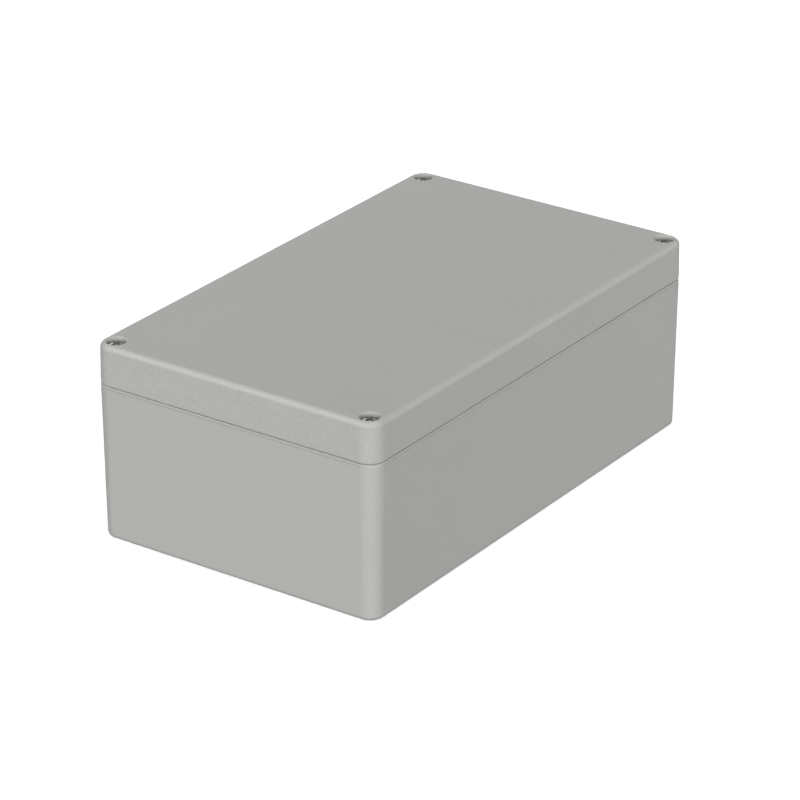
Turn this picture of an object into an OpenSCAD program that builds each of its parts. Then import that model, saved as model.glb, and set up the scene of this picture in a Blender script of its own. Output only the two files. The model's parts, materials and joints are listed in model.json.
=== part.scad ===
// Sealed plastic enclosure: a drafted base and a lid that meet on a tongue and a
// gasket, held together by four captive screws in the corners.
// X runs along the long side, Y along the short side, Z up from the underside.

/* [Enclosure] */
// Length at the seam between base and lid, the longest place
enclosure_l = 200; // [160:1:260]
// Width at the seam between base and lid, the widest place
enclosure_w = 120; // [110:1:180]
// Height of the base, from the underside to the seam
base_h = 59.4; // [40:0.1:120]
// Height of the lid, from the seam to the top face
lid_h = 15.6; // [15.2:0.1:18]
// Radius of the upright corners at the seam
corner_r = 6.4; // [5:0.1:9]
// Mould draft of all side faces, in degrees
draft = 0.7; // [0.3:0.1:1.2]
// Radius of the round along the lid's top edge
lid_edge_r = 2.3; // [1:0.1:2.5]
// Radius of the round along the base's bottom edge
foot_edge_r = 1.5; // [0.4:0.1:2]
// Radius of the round along the base's rim, just under the seam
rim_edge_r = 0.3; // [0.1:0.05:0.6]
// Radius of the round along the lid's lower edge, just above the seam
seam_edge_r = 0.9; // [0.5:0.1:1.1]

/* [Walls] */
// Side wall of the base at the rim
wall_t = 3.2; // [3:0.1:4]
// Floor of the base
floor_t = 3.5; // [3:0.1:6]
// Radius between the floor and the walls and towers
floor_edge_r = 1.5; // [0.5:0.1:2.5]
// Top plate of the lid
lid_plate_t = 3; // [2.5:0.1:4]

/* [Seal] */
// Thickness of the tongue on the base's rim
tongue_t = 1.4; // [1.2:0.1:1.6]
// Height of the tongue above the rim
tongue_h = 2; // [1.5:0.1:3]
// Distance from the base's inner edge to the tongue
tongue_set = 0.1; // [0:0.05:0.3]
// Gap between the tongue and each side of the lid's groove
groove_gap = 0.35; // [0.2:0.05:0.4]
// Rib along the inner side of the groove
groove_rib_t = 1.4; // [1:0.1:2]
// Thickness of the gasket in the groove, pressed
gasket_t = 1.5; // [1:0.1:2.5]
// Gap between the gasket and each side of the groove
gasket_gap = 0.1; // [0.05:0.05:0.2]
// Radius of the seal's bends at the walls, along the rib's inner face
seal_bend_r = 2; // [1:0.1:3]

/* [Corner towers] */
// Lid screw's axis to the two outer faces beside it
screw_inset = 6; // [5.8:0.1:8]
// Fixing hole's axis to the outer end face
fixing_inset_x = 7.5; // [7:0.1:10]
// Fixing hole's axis to the outer long face
fixing_inset_y = 18; // [16:0.5:24]
// Fixing hole through the floor
fixing_hole_d = 4.5; // [3.5:0.1:5.5]
// Channel above the fixing hole, wide enough for a screw head
fixing_channel_d = 8.5; // [7.5:0.1:9]
// Plastic under the fixing screw's head
fixing_seat_t = 5; // [4:0.1:8]
// Tower wall between the fixing channel and the inside
tower_wall_t = 3.25; // [3:0.05:5]
// Radius of each tower's inner upright edge
tower_edge_r = 4; // [3:0.1:6]
// Core hole below each thread insert, which keeps the tower's walls even
core_d = 4.6; // [4.3:0.1:5]

/* [Lid screws] */
// Outer diameter of the thread
thread_d = 4; // [3.5:0.1:4.2]
// Diameter of the head
head_d = 6; // [5.6:0.1:6.4]
// Height of the head, with its domed top
head_h = 3.6; // [3.2:0.1:3.8]
// Height of the dome on the head
head_dome = 0.6; // [0.3:0.1:0.8]
// Radius of the round between the head's side and its dome
head_edge_r = 0.3; // [0.1:0.05:0.5]
// Depth of the dome's crest below the lid's top face
head_set = 0.9; // [0.7:0.1:1.2]
// Gap between the head and the wall of its recess
recess_gap = 0.4; // [0.3:0.05:0.5]
// Radius of the round at the recess's mouth
recess_edge_r = 0.6; // [0.2:0.1:0.7]
// Web of the lid that the head bears on
web_t = 1.8; // [1.5:0.1:2]
// Gap round the shank in the web
shank_gap = 0.2; // [0.1:0.05:0.4]
// Width of the cross recess's arms
cross_t = 1.2; // [0.8:0.05:1.4]
// Span of the cross recess at the level of the dome's crest
cross_d = 5.4; // [4:0.1:5.6]
// Depth of the cross recess below the dome's crest
cross_depth = 1.9; // [1.4:0.1:2.2]
// Gap between the insert and the tip of an undone screw
tip_gap = 0.8; // [0.3:0.1:1.5]

/* [Retaining rings] */
// Neck of the screw that the ring sits in
neck_d = 3.2; // [2.6:0.1:3.4]
// Outer diameter of the ring
ring_d = 6.4; // [5.6:0.1:6.6]
// Thickness of the ring
ring_t = 1.3; // [0.8:0.1:1.4]
// Slit that lets the ring snap onto the neck
ring_slit = 1; // [0.6:0.1:2]
// Gap between the ring and the wall of its pillar
ring_gap = 0.35; // [0.2:0.05:0.5]
// Gap between the ring and each shoulder of the neck
neck_gap = 0.1; // [0.05:0.05:0.15]
// Gap between the insert and the ring while the screw is tight
ring_set = 1.55; // [0.3:0.05:2]
// Gap left between the ring and the web when the screw is out
stop_gap = 0.15; // [0.1:0.05:0.3]
// Running gap of turning fits, on the radius
run_gap = 0.05; // [0.02:0.01:0.08]

/* [Thread inserts] */
// Outer diameter of the insert
insert_d = 5.6; // [5.2:0.1:6.4]
// Length of the insert
insert_l = 9; // [8:0.5:14]
// Depth of the groove round the insert's middle
insert_groove = 0.4; // [0.2:0.05:0.5]
// Gap between the insert and its hole, on the radius
insert_gap = 0.05; // [0.02:0.01:0.1]

/* [Board bosses] */
// Spacing of the board bosses along the length
boss_span_x = 150; // [80:1:152]
// Spacing of the board bosses along the width
boss_span_y = 90; // [40:1:94]
// Diameter of a boss at its top
boss_d = 7; // [6:0.1:9]
// Height of a boss above the floor
boss_h = 5; // [3:0.5:12]
// Radius between a boss and the floor
boss_foot_r = 0.8; // [0.3:0.1:1.5]
// Pilot hole of a boss
pilot_d = 2.6; // [2:0.1:3.4]
// Floor left under the pilot hole
pilot_floor_t = 2; // [1.5:0.1:3]

/* [Hidden] */

// Facets of turned shapes
$fn = 64;
// Steps along a quarter round drawn as points
round_steps = 8;
// How far a cut runs past the face it opens, and how deep an added form is rooted
past = 1;

// Corner signs, seen from above with the near long side in front
FRONT_LEFT = [-1, -1];
FRONT_RIGHT = [1, -1];
REAR_LEFT = [-1, 1];
REAR_RIGHT = [1, 1];
CORNERS = [FRONT_LEFT, FRONT_RIGHT, REAR_LEFT, REAR_RIGHT];

slope = tan(draft);
half_l = enclosure_l / 2;
half_w = enclosure_w / 2;
top_z = base_h + lid_h;

// Inner faces of the base's walls and of its towers, at the rim
inner_x = half_l - wall_t;
inner_y = half_w - wall_t;
tower_x = half_l - fixing_inset_x - fixing_channel_d / 2 - tower_wall_t;
tower_y = half_w - fixing_inset_y - fixing_channel_d / 2 - tower_wall_t;

// Seal, as distances outward from the base's inner edge
tongue_in = tongue_set;
tongue_out = tongue_set + tongue_t;
groove_in = tongue_in - groove_gap;
groove_out = tongue_out + groove_gap;
rib_in = groove_in - groove_rib_t;
tongue_top_z = base_h + tongue_h;
groove_top_z = tongue_top_z + gasket_t;
// Radius of the bay's upright corners at the rim, in line with the seal's bends
bay_bend_r = seal_bend_r - rib_in;

// Heights along a lid screw, and its travel from its seat to where its ring stops it
head_top_z = top_z - head_set;
seat_z = head_top_z - head_h;
web_z = seat_z - web_t;
ring_z = base_h + ring_set;
ring_top_z = ring_z + ring_t;
screw_travel = web_z - stop_gap - ring_top_z;
tip_z = base_h + tip_gap - screw_travel;
recess_r = head_d / 2 + recess_gap;
dome_r = (head_d * head_d / 4 + head_dome * head_dome) / (2 * head_dome);
dome_z = head_top_z - dome_r;
pillar_d = ring_d + 2 * ring_gap;
tip_chamfer = (thread_d - neck_d) / 2;

// Colours
plastic_grey = [0.68, 0.69, 0.68];
seal_grey = [0.2, 0.2, 0.21];
screw_steel = [0.72, 0.72, 0.7];
ring_white = [0.86, 0.85, 0.8];
insert_brass = [0.78, 0.62, 0.3];

// Points along a round, from angle a0 to angle a1
function round_points(centre, r, a0, a1) = [
    for (i = [0:round_steps])
        let (a = a0 + (a1 - a0) * i / round_steps)
            centre + r * [cos(a), sin(a)]
];

// Distance from a corner's axis to a drafted face, `drop` below the level where it is `r`
function drafted(r, drop) = r - slope * drop;

// Centre line of a round that is tangent to a drafted face
function round_x(r, drop, round_r) = drafted(r, drop) - round_r / cos(draft);

// Outline that runs round the inside of walls and towers, `grow` outward of their faces
function seal_quarter(grow) =
    let (outer_r = bay_bend_r + grow)
    let (inner_r = tower_edge_r - grow)
    concat(
        round_points([inner_x + grow - outer_r, tower_y + grow - outer_r], outer_r, 0, 90),
        round_points([tower_x + grow + inner_r, tower_y + grow + inner_r], inner_r, 270, 180),
        round_points([tower_x + grow - outer_r, inner_y + grow - outer_r], outer_r, 0, 90)
    );
function flipped(points, sign) = [for (p = points) [p.x * sign.x, p.y * sign.y]];
function backwards(points) = [for (i = [len(points) - 1:-1:0]) points[i]];
function seal_outline(grow) =
    let (quarter = seal_quarter(grow))
    concat(
        quarter,
        backwards(flipped(quarter, REAR_LEFT)),
        flipped(quarter, FRONT_LEFT),
        backwards(flipped(quarter, FRONT_RIGHT))
    );

// Flat ring between two distances from the base's inner edge
module seal_ring(from, to) {
    difference() {
        polygon(seal_outline(to));
        polygon(seal_outline(from));
    }
}

// Block with round upright corners: the edge profile given as a child runs round it.
// The profile's x is measured from the corners' axes, which lie r inside l and w.
module edged_block(l, w, r, z0, z1) {
    run_x = l - 2 * r;
    run_y = w - 2 * r;
    translate([-run_x / 2, -run_y / 2, z0]) cube([run_x, run_y, z1 - z0]);
    for (turn = [0, 180]) {
        rotate([0, 0, turn]) {
            translate([run_x / 2, run_y / 2, 0]) rotate_extrude(angle = 90) children();
            translate([-run_x / 2, run_y / 2, 0]) rotate([0, 0, 90]) rotate_extrude(angle = 90) children();
            translate([run_x / 2, run_y / 2, 0]) rotate([90, 0, 0]) linear_extrude(run_y) children();
            translate([-run_x / 2, run_y / 2, 0]) rotate([90, 0, 90]) linear_extrude(run_x) children();
        }
    }
}

// Edge profiles, from a corner's axis outward
module base_edge() {
    foot_x = round_x(corner_r, base_h - foot_edge_r, foot_edge_r);
    rim_x = round_x(corner_r, rim_edge_r, rim_edge_r);
    polygon(concat(
        [[0, 0]],
        round_points([foot_x, foot_edge_r], foot_edge_r, -90, -draft),
        round_points([rim_x, base_h - rim_edge_r], rim_edge_r, -draft, 90),
        [[0, base_h]]
    ));
}

module lid_edge() {
    seam_x = round_x(corner_r, seam_edge_r, seam_edge_r);
    edge_x = round_x(corner_r, lid_h - lid_edge_r, lid_edge_r);
    polygon(concat(
        [[0, base_h]],
        round_points([seam_x, base_h + seam_edge_r], seam_edge_r, -90, draft),
        round_points([edge_x, top_z - lid_edge_r], lid_edge_r, draft, 90),
        [[0, top_z]]
    ));
}

// Edge of the bay, from the axis of one of its own corners outward
module bay_edge() {
    round_z = floor_t + floor_edge_r;
    floor_x = round_x(bay_bend_r, base_h - round_z, floor_edge_r);
    polygon(concat(
        [[0, floor_t]],
        round_points([floor_x, round_z], floor_edge_r, -90, -draft),
        [[drafted(bay_bend_r, -past), base_h + past], [0, base_h + past]]
    ));
}

// Edge of the bay round a tower, from the axis of the tower's upright edge outward
module tower_edge() {
    round_z = floor_t + floor_edge_r;
    floor_x = -round_x(-tower_edge_r, base_h - round_z, floor_edge_r);
    reach = sqrt(2) * floor_x + past;
    polygon(concat(
        [[reach, floor_t], [reach, base_h + past], [-drafted(-tower_edge_r, -past), base_h + past]],
        round_points([floor_x, round_z], floor_edge_r, 180 + draft, 270)
    ));
}

// Edge of a board boss, from its axis outward
module boss_edge() {
    boss_r = boss_d / 2;
    foot_x = -round_x(-boss_r, boss_h - boss_foot_r, boss_foot_r);
    polygon(concat(
        [[0, floor_t - past], [foot_x, floor_t - past]],
        round_points([foot_x, floor_t + boss_foot_r], boss_foot_r, 270, 180 + draft),
        [[boss_r, floor_t + boss_h], [0, floor_t + boss_h]]
    ));
}

module at_screw(corner) {
    translate([corner.x * (half_l - screw_inset), corner.y * (half_w - screw_inset), 0]) children();
}

module at_fixing(corner) {
    translate([corner.x * (half_l - fixing_inset_x), corner.y * (half_w - fixing_inset_y), 0]) children();
}

module at_boss(corner) {
    translate([corner.x * boss_span_x / 2, corner.y * boss_span_y / 2, 0]) children();
}

// Round cut or post between two heights
module post(d, z0, z1) {
    translate([0, 0, z0]) cylinder(d = d, h = z1 - z0);
}

// Round recess for a screw's head, with a rounded mouth
module head_recess() {
    mouth = [recess_r + recess_edge_r, top_z - recess_edge_r];
    rotate_extrude() polygon(concat(
        [[0, seat_z], [recess_r, seat_z]],
        round_points(mouth, recess_edge_r, 180, 90),
        [[mouth.x, top_z + past], [0, top_z + past]]
    ));
}

// Space inside the base: two blocks that cross, opened out round each tower's upright edge
module base_bay() {
    edged_block(2 * inner_x, 2 * tower_y, bay_bend_r, floor_t, base_h + past) bay_edge();
    edged_block(2 * tower_x, 2 * inner_y, bay_bend_r, floor_t, base_h + past) bay_edge();
    for (corner = CORNERS)
        translate([corner.x * (tower_x + tower_edge_r), corner.y * (tower_y + tower_edge_r), 0])
            rotate([0, 0, atan2(-corner.y, -corner.x) - 45])
                rotate_extrude(angle = 90) tower_edge();
}

module enclosure_base() {
    boss_top_z = floor_t + boss_h;
    insert_hole_d = insert_d + 2 * insert_gap;
    color(plastic_grey)
    difference() {
        union() {
            difference() {
                edged_block(enclosure_l, enclosure_w, corner_r, 0, base_h) base_edge();
                base_bay();
            }
            translate([0, 0, base_h - past])
                linear_extrude(past + tongue_h) seal_ring(tongue_in, tongue_out);
            for (corner = CORNERS)
                at_boss(corner) rotate_extrude() boss_edge();
        }
        for (corner = CORNERS) {
            at_screw(corner) post(insert_hole_d, base_h - insert_l, base_h + past);
            at_screw(corner) post(core_d, fixing_seat_t, base_h);
            at_fixing(corner) post(fixing_hole_d, -past, fixing_seat_t + past);
            at_fixing(corner) post(fixing_channel_d, fixing_seat_t, base_h + past);
            at_boss(corner) post(pilot_d, pilot_floor_t, boss_top_z + past);
        }
    }
}

module lid() {
    hollow_z = top_z - lid_plate_t;
    color(plastic_grey)
    difference() {
        edged_block(enclosure_l, enclosure_w, corner_r, base_h, top_z) lid_edge();
        translate([0, 0, base_h - past]) {
            linear_extrude(past + hollow_z - base_h) polygon(seal_outline(rib_in));
            linear_extrude(past + groove_top_z - base_h) seal_ring(groove_in, groove_out);
        }
        for (corner = CORNERS) {
            at_screw(corner) head_recess();
            at_screw(corner) post(thread_d + 2 * shank_gap, web_z - past, seat_z + past);
            at_screw(corner) post(pillar_d, base_h - past, web_z);
            at_fixing(corner) post(fixing_channel_d, base_h - past, hollow_z);
        }
    }
}

module gasket() {
    color(seal_grey)
    translate([0, 0, tongue_top_z])
        linear_extrude(gasket_t) seal_ring(groove_in + gasket_gap, groove_out - gasket_gap);
}

// Cross of two bars that narrows to a point, as the driver's tip does
module cross_recess() {
    intersection() {
        union() {
            for (turn = [0, 90])
                rotate([0, 0, turn])
                    translate([-cross_d / 2, -cross_t / 2, head_top_z - cross_depth])
                        cube([cross_d, cross_t, cross_depth + past]);
        }
        translate([0, 0, head_top_z - cross_depth])
            cylinder(d1 = cross_t, d2 = cross_d, h = cross_depth);
    }
}

module lid_screw(corner) {
    head_r = head_d / 2;
    thread_r = thread_d / 2;
    neck_r = neck_d / 2;
    // The edge's round touches both the head's side and its dome, at the brim's angle
    edge_x = head_r - head_edge_r;
    edge_z = dome_z + sqrt(pow(dome_r - head_edge_r, 2) - edge_x * edge_x);
    brim = atan2(edge_z - dome_z, edge_x);
    dome_step = (90 - brim) / round_steps;
    color(screw_steel)
    at_screw(corner)
    difference() {
        rotate_extrude() polygon(concat(
            [
                [0, tip_z],
                [thread_r - tip_chamfer, tip_z],
                [thread_r, tip_z + tip_chamfer],
                [thread_r, ring_z - neck_gap],
                [neck_r, ring_z - neck_gap],
                [neck_r, ring_top_z + neck_gap],
                [thread_r, ring_top_z + neck_gap],
                [thread_r, seat_z],
                [head_r, seat_z]
            ],
            round_points([edge_x, edge_z], head_edge_r, 0, brim),
            round_points([0, dome_z], dome_r, brim + dome_step, 90)
        ));
        cross_recess();
    }
}

module retaining_ring(corner) {
    color(ring_white)
    at_screw(corner)
    difference() {
        post(ring_d, ring_z, ring_top_z);
        post(neck_d + 2 * run_gap, ring_z - past, ring_top_z + past);
        rotate([0, 0, corner.x > 0 ? 180 : 0])
            translate([0, -ring_slit / 2, ring_z - past]) cube([ring_d, ring_slit, ring_t + 2 * past]);
    }
}

module thread_insert(corner) {
    bore_r = thread_d / 2 + run_gap;
    outer_r = insert_d / 2;
    band = insert_l / 3;
    foot_z = base_h - insert_l;
    color(insert_brass)
    at_screw(corner)
    rotate_extrude() polygon([
        [bore_r, foot_z],
        [outer_r - insert_groove, foot_z],
        [outer_r, foot_z + insert_groove],
        [outer_r, foot_z + band],
        [outer_r - insert_groove, foot_z + band],
        [outer_r - insert_groove, base_h - band],
        [outer_r, base_h - band],
        [outer_r, base_h],
        [bore_r, base_h]
    ]);
}

enclosure_base();
lid();
gasket();
lid_screw(FRONT_LEFT);  // lid_screw_front_left
lid_screw(FRONT_RIGHT);  // lid_screw_front_right
lid_screw(REAR_LEFT);  // lid_screw_rear_left
lid_screw(REAR_RIGHT);  // lid_screw_rear_right
retaining_ring(FRONT_LEFT);  // retaining_ring_front_left
retaining_ring(FRONT_RIGHT);  // retaining_ring_front_right
retaining_ring(REAR_LEFT);  // retaining_ring_rear_left
retaining_ring(REAR_RIGHT);  // retaining_ring_rear_right
thread_insert(FRONT_LEFT);  // thread_insert_front_left
thread_insert(FRONT_RIGHT);  // thread_insert_front_right
thread_insert(REAR_LEFT);  // thread_insert_rear_left
thread_insert(REAR_RIGHT);  // thread_insert_rear_right
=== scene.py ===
"""Looks of a sealed plastic enclosure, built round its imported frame.

Every kind of piece has a mesh of its own. Profiles and outlines are drawn in millimetres and become
metres when a mesh is made.
"""

import json
import math

import bmesh
import bpy
from mathutils import Matrix, Vector

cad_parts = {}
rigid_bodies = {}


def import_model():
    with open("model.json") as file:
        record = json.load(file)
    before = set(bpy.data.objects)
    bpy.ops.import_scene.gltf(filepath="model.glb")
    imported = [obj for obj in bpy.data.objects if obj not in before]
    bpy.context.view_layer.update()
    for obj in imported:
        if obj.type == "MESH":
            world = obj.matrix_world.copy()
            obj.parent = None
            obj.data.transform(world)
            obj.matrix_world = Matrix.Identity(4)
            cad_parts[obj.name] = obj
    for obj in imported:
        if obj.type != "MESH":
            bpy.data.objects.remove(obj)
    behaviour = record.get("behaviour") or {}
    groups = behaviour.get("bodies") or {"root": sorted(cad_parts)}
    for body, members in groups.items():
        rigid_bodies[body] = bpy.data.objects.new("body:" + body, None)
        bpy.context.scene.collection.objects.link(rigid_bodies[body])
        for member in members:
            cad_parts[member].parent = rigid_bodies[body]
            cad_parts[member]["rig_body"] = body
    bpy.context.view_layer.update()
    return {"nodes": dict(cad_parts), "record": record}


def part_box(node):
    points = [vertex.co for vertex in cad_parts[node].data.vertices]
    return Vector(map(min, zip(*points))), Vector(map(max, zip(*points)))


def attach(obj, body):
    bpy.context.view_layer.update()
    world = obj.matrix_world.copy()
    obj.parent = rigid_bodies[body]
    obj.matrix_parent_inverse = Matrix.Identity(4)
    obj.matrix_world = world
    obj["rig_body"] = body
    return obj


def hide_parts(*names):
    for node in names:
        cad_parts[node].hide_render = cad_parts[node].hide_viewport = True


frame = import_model()

MM = 0.001

# Corners of the enclosure, seen from above with the near long side in front
CORNERS = {
    "front_left": (-1, -1),
    "front_right": (1, -1),
    "rear_left": (-1, 1),
    "rear_right": (1, 1),
}


def node_box(node):
    """Lowest and highest corner of a CAD node, in millimetres."""
    low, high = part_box(node)
    return low / MM, high / MM


def pattern(name):
    """Half spacings and hole radius of one of the record's bolt patterns, in millimetres."""
    mount = next(m for m in frame["record"]["mounts"] if m["name"] == name)
    dims = mount["dims"]
    return dims["spacing_x_mm"] / 2, dims["spacing_y_mm"] / 2, dims["hole_r_mm"]


# Boxes of the CAD nodes
_, BASE_HIGH = node_box("enclosure_base")
LID_LOW, LID_HIGH = node_box("lid")
GASKET_LOW, GASKET_HIGH = node_box("gasket")
SCREW_LOW, SCREW_HIGH = node_box("lid_screw_rear_right")
RING_LOW, RING_HIGH = node_box("retaining_ring_rear_right")
INSERT_LOW, INSERT_HIGH = node_box("thread_insert_rear_right")

# Outer shell
DRAFT = math.radians(0.7)
SLOPE = math.tan(DRAFT)
CORNER_R = 6.4
FOOT_R = 1.5
RIM_R = 0.3
# The rim's round grows to this in the middle of the upright corners
CORNER_RIM_R = 1.2
SEAM_R = 0.9
LID_EDGE_R = 2.3
SEAM_Z = LID_LOW.z
TOP_Z = LID_HIGH.z
# The base is widest just under the round of its rim, a little inside its size at the seam
RIM_LOSS = RIM_R * (SLOPE + 1 / math.cos(DRAFT) - 1)
HALF_L = BASE_HIGH.x + RIM_LOSS
HALF_W = BASE_HIGH.y + RIM_LOSS

# Walls, floor and lid plate
WALL_T = 3.2
FLOOR_Z = 3.5
FLOOR_R = 1.5
LID_PLATE_T = 3.0
HOLLOW_Z = TOP_Z - LID_PLATE_T
HOLLOW_R = 0.6
# Round of edges that a mould leaves almost sharp
EDGE_R = 0.15

# Corner towers
FIXING_X, FIXING_Y, FIXING_HOLE_R = pattern("wall_fixing")
CHANNEL_R = 4.25
FIXING_SEAT_Z = 5.0
TOWER_WALL_T = 3.25
TOWER_EDGE_R = 4.0
CORE_R = 2.3
INNER_X = HALF_L - WALL_T
INNER_Y = HALF_W - WALL_T
TOWER_X = FIXING_X - CHANNEL_R - TOWER_WALL_T
TOWER_Y = FIXING_Y - CHANNEL_R - TOWER_WALL_T

# Seal, as distances outward from the bay's walls at the rim
TONGUE_IN = 0.1
TONGUE_OUT = 1.5
TONGUE_R = 0.35
TONGUE_TOP_Z = BASE_HIGH.z
GROOVE_GAP = 0.35
GROOVE_IN = TONGUE_IN - GROOVE_GAP
GROOVE_OUT = TONGUE_OUT + GROOVE_GAP
GROOVE_TOP_Z = GASKET_HIGH.z
RIB_T = 1.4
RIB_IN = GROOVE_IN - RIB_T
SEAL_BEND_R = 2.0
BAY_BEND_R = SEAL_BEND_R - RIB_IN
GASKET_GAP = 0.1
GASKET_R = 0.4

# Lid screws
HEAD_DROP = 0.9
HEAD_TOP_Z = TOP_Z - HEAD_DROP
TIP_Z = SCREW_LOW.z
HEAD_R = (SCREW_HIGH.x - SCREW_LOW.x) / 2
HEAD_H = 3.6
HEAD_DOME = 0.6
HEAD_EDGE_R = 0.3
DOME_R = (HEAD_R ** 2 + HEAD_DOME ** 2) / (2 * HEAD_DOME)
DOME_Z = HEAD_TOP_Z - DOME_R
SEAT_Z = HEAD_TOP_Z - HEAD_H
WEB_T = 1.8
WEB_Z = SEAT_Z - WEB_T
RECESS_GAP = 0.4
RECESS_R = HEAD_R + RECESS_GAP
RECESS_EDGE_R = 0.9
# The rounded mouth rises this far past the lid's top, so that the two don't graze
MOUTH_LIFT = 0.002
THREAD_R = 2.0
THREAD_DEPTH = 0.42
THREAD_PITCH = 0.7
SHANK_GAP = 0.2
SHANK_HOLE_R = THREAD_R + SHANK_GAP
NECK_R = 1.6
NECK_GAP = 0.1
TIP_CHAMFER = THREAD_R - NECK_R
CROSS_REACH = 2.7
CROSS_FOOT = 0.55
CROSS_DEPTH = 1.9
CROSS_HALF_T = 0.6
CROSS_FOOT_HALF_T = 0.3
CROSS_BEND_R = 0.2
# Parts of the cross's depth at which its cutter has a loop, the first of them above the head
CROSS_SINKS = (-0.2, 0, 0.5, 1)
# The last loop of a head's dome lies this far from its axis
DOME_MIDDLE = 0.2

# Retaining rings and the pillars they rise in
RING_R = (RING_HIGH.x - RING_LOW.x) / 2
RING_GAP = 0.05
RING_BORE_R = NECK_R + RING_GAP
RING_SLIT = 1.0
PILLAR_GAP = 0.35
PILLAR_R = RING_R + PILLAR_GAP

# Thread inserts
INSERT_R = (INSERT_HIGH.x - INSERT_LOW.x) / 2
INSERT_GAP = 0.05
INSERT_HOLE_R = INSERT_R + INSERT_GAP
THREAD_GAP = 0.05
INSERT_BORE_R = THREAD_R + THREAD_GAP
INSERT_GROOVE = 0.4
INSERT_THREAD_DEPTH = 0.22
INSERT_MOUTH = 0.25
KNURL_DEPTH = 0.22

# Board bosses
BOSS_X, BOSS_Y, PILOT_R = pattern("board_bosses")
BOSS_R = 3.5
BOSS_H = 5.0
BOSS_TOP_Z = FLOOR_Z + BOSS_H
BOSS_FOOT_R = 0.8
PILOT_FLOOR_Z = 2.0

# Steps along rounds
CORNER_STEPS = 24
BEND_STEPS = 10
ROUND_STEPS = 12
EDGE_STEPS = 3
# Rounds up to this radius have the few steps of an edge
FINE_R = 0.25
HOLE_STEPS = 64
RECESS_STEPS = 96
TURNED_STEPS = 72
THREAD_ROWS = 16
# Edges that turn more than this stay hard in the shading
HARD_EDGE = math.radians(40)
# Digits to which points are told apart, in millimetres
SPOT_DIGITS = 4


def arc(centre, r, start, end, steps, hollow=False):
    """Outline points (x, y, azimuth of the normal) along a round, angles in degrees.

    A hollow round faces its own centre.
    """
    points = []
    for i in range(steps + 1):
        a = math.radians(start + (end - start) * i / steps)
        facing = a + math.pi if hollow else a
        points.append((centre[0] + r * math.cos(a), centre[1] + r * math.sin(a), facing))
    return points


def mirrored(points, sign_x, sign_y):
    """Outline points reflected where a sign is negative, in the order that keeps their turn."""
    flipped = [
        (sign_x * x, sign_y * y, math.atan2(sign_y * math.sin(a), sign_x * math.cos(a)))
        for x, y, a in points
    ]
    return flipped if sign_x * sign_y > 0 else flipped[::-1]


def quarters(quarter):
    """A whole outline from its first quarter."""
    return quarter + mirrored(quarter, -1, 1) + mirrored(quarter, -1, -1) + mirrored(quarter, 1, -1)


def box_outline(d):
    """Outer rounded rectangle, d outward of the upright corners' axes."""
    axis = (HALF_L - CORNER_R, HALF_W - CORNER_R)
    return quarters(arc(axis, d, 0, 90, CORNER_STEPS))


def seal_outline(d):
    """Runs round the bay's walls and towers, d outward of their faces at the rim."""
    bend = BAY_BEND_R + d
    edge = TOWER_EDGE_R - d
    end_bend = arc((INNER_X + d - bend, TOWER_Y + d - bend), bend, 0, 90, BEND_STEPS)
    tower_edge = arc((TOWER_X + d + edge, TOWER_Y + d + edge), edge, 270, 180, BEND_STEPS, hollow=True)
    side_bend = arc((TOWER_X + d - bend, INNER_Y + d - bend), bend, 0, 90, BEND_STEPS)
    return quarters(end_bend + tower_edge + side_bend)


def circle_at(centre, steps=HOLE_STEPS):
    """Outline function of circles round a centre."""
    return lambda d: arc(centre, d, 0, 360, steps)[:-1]


def rounded(corners, closed=False):
    """Profile points (d, z, angle of the normal) of a path whose corners (d, z, radius) are rounded.

    The material lies left of the path. The two ends of an open path only give its direction.
    """
    count = len(corners)
    turning = range(count) if closed else range(1, count - 1)
    points = []
    for i in turning:
        before, here, after = (Vector(corners[k % count][:2]) for k in (i - 1, i, i + 1))
        radius = corners[i][2]
        run_in = (here - before).normalized()
        run_out = (after - here).normalized()
        heading = math.atan2(run_in.y, run_in.x)
        turn = math.atan2(run_in.x * run_out.y - run_in.y * run_out.x, run_in.dot(run_out))
        side = math.copysign(1, turn)
        start = here - run_in * radius * math.tan(abs(turn) / 2)
        centre = start + side * radius * Vector((-run_in.y, run_in.x))
        steps = ROUND_STEPS if radius > FINE_R else EDGE_STEPS
        for step in range(steps + 1):
            t = heading + turn * step / steps
            point = centre + side * radius * Vector((math.sin(t), -math.cos(t)))
            points.append((point.x, point.y, t - math.pi / 2))
    return points


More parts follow.
